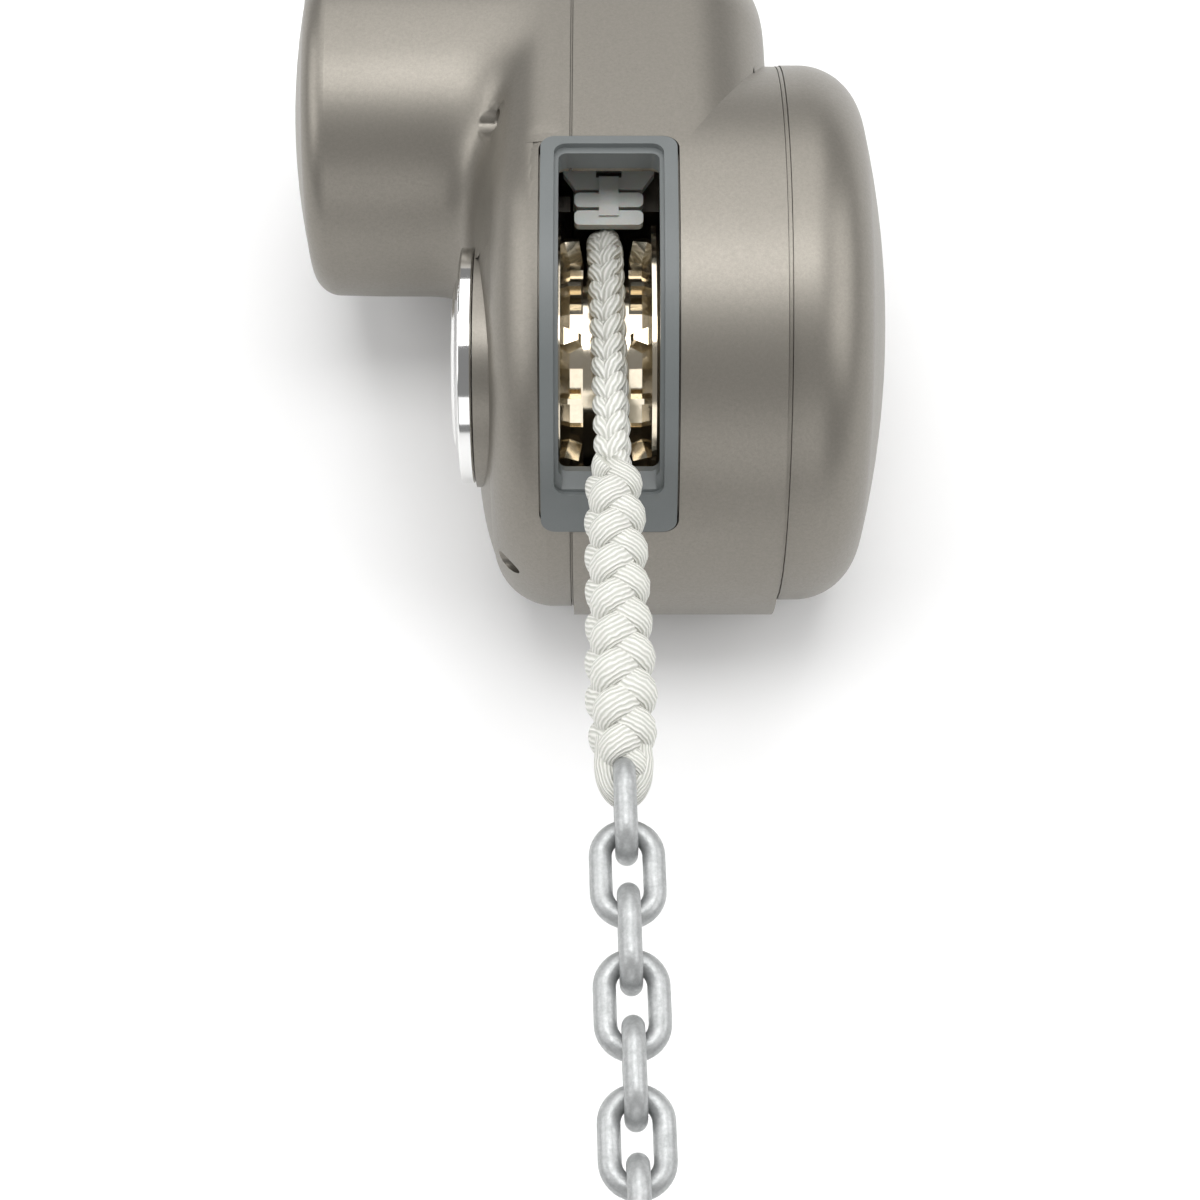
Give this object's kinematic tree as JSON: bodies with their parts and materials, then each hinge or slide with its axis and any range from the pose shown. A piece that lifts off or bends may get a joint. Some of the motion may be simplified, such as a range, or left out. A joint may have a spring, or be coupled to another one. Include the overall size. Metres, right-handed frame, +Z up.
{
  "type": "anchor windlass",
  "caption": "Horizontal electric anchor windlass with a drum housing, windowed gypsy, clutch cap, rear motor barrel, and a spliced rope and chain rode.",
  "frame": {"origin": "middle of the deck bolt pattern on the gasket's underside, in the rode plane", "axes": "+Z up from the deck, -Y towards the bow along the rode, +X along the shafts to the gear cover"},
  "size_m": [0.2128, 0.5335, 0.1852],
  "materials": {
    "casing_paint": "satin warm grey metallic paint with a fine speckle",
    "frame_plastic": "fine matt moulded plastic",
    "rubber": "matt black seal rubber",
    "stainless": "machined stainless steel",
    "polished_stainless": "mirror polished stainless steel",
    "nickel_bronze": "polished nickel plated bronze",
    "bronze": "machined bronze",
    "black_nylon": "moulded nylon",
    "white_nylon": "translucent white nylon",
    "bearing_steel": "ground steel",
    "gear_steel": "hobbed alloy steel, oiled",
    "plated_steel": "zinc plated tube",
    "raw_aluminium": "die cast aluminium",
    "ferrite": "sintered and laminated iron",
    "carbon": "pressed carbon",
    "copper": "turned copper",
    "rope_fibre": "white eight-plait polyamide",
    "galvanised": "hot dip galvanised steel"
  },
  "bodies": {
    "housing": {"deck_gasket": "rubber", "centre_housing": "casing_paint", "left_casing": "casing_paint", "seam_seal": "casing_paint", "gear_cover": "casing_paint", "cover_gasket": "casing_paint", "window_frame": "frame_plastic", "casing_screws": "stainless", "cover_screws": "stainless", "cable_gland": "black_nylon", "stripper": "bronze", "main_bearing": "bearing_steel", "cover_bearing": "bearing_steel", "shaft_seal": "rubber", "layshaft_bushes": "bronze", "cap_seal": "rubber", "motor_can": "plated_steel", "field_magnets": "ferrite", "drive_bell": "raw_aluminium", "rear_bell": "raw_aluminium", "motor_bearings": "bearing_steel", "bell_screws": "stainless", "brushes": "carbon", "finger_pin": "stainless", "rope": "rope_fibre", "rope_splice": "rope_fibre", "chain_links": "galvanised", "shackle_bow": "galvanised", "shackle_pin": "galvanised"},
    "main_shaft": {"main_shaft": "stainless", "clutch_key": "bearing_steel", "gear_key": "bearing_steel", "inner_clutch_cone": "bronze", "outer_clutch_cone": "bronze", "spring_washers": "stainless", "main_gear": "gear_steel", "gear_circlip": "gear_steel", "bearing_spacer": "gear_steel"},
    "gypsy": {"gypsy": "nickel_bronze"},
    "clutch_cap": {"clutch_cap": "polished_stainless"},
    "layshaft": {"layshaft": "gear_steel", "layshaft_key": "bearing_steel", "layshaft_gear": "gear_steel"},
    "armature": {"armature": "ferrite", "commutator": "copper", "motor_pinion": "gear_steel"},
    "pressure_finger": {"pressure_finger": "white_nylon"}
  },
  "joints": [
    {"name": "main_shaft_turn", "type": "hinge", "parent": "housing", "child": "main_shaft", "pos_m": [0, -0.023, 0.102], "axis": [1, 0, 0], "continuous": true},
    {"name": "gypsy_free_fall", "type": "hinge", "parent": "main_shaft", "child": "gypsy", "pos_m": [0, -0.023, 0.102], "axis": [1, 0, 0], "continuous": true},
    {"name": "clutch_cap_turn", "type": "hinge", "parent": "main_shaft", "child": "clutch_cap", "pos_m": [-0.045, -0.023, 0.102], "axis": [1, 0, 0], "range_deg": [0, 180]},
    {"name": "layshaft_turn", "type": "hinge", "parent": "housing", "child": "layshaft", "pos_m": [0, 0.03775, 0.1022], "axis": [1, 0, 0], "continuous": true},
    {"name": "armature_turn", "type": "hinge", "parent": "housing", "child": "armature", "pos_m": [0, 0.0823, 0.084], "axis": [1, 0, 0], "continuous": true},
    {"name": "finger_lift", "type": "hinge", "parent": "housing", "child": "pressure_finger", "pos_m": [0.001, 0.0385, 0.139], "axis": [-1, 0, 0], "range_deg": [0, 16], "stiffness_Nm_per_rad": 0.5, "springref_deg": -20.05}
  ],
  "couplings": [
    {"joint": "layshaft_turn", "follows": "main_shaft_turn", "ratio": -5.2308},
    {"joint": "armature_turn", "follows": "main_shaft_turn", "ratio": 23.538}
  ]
}
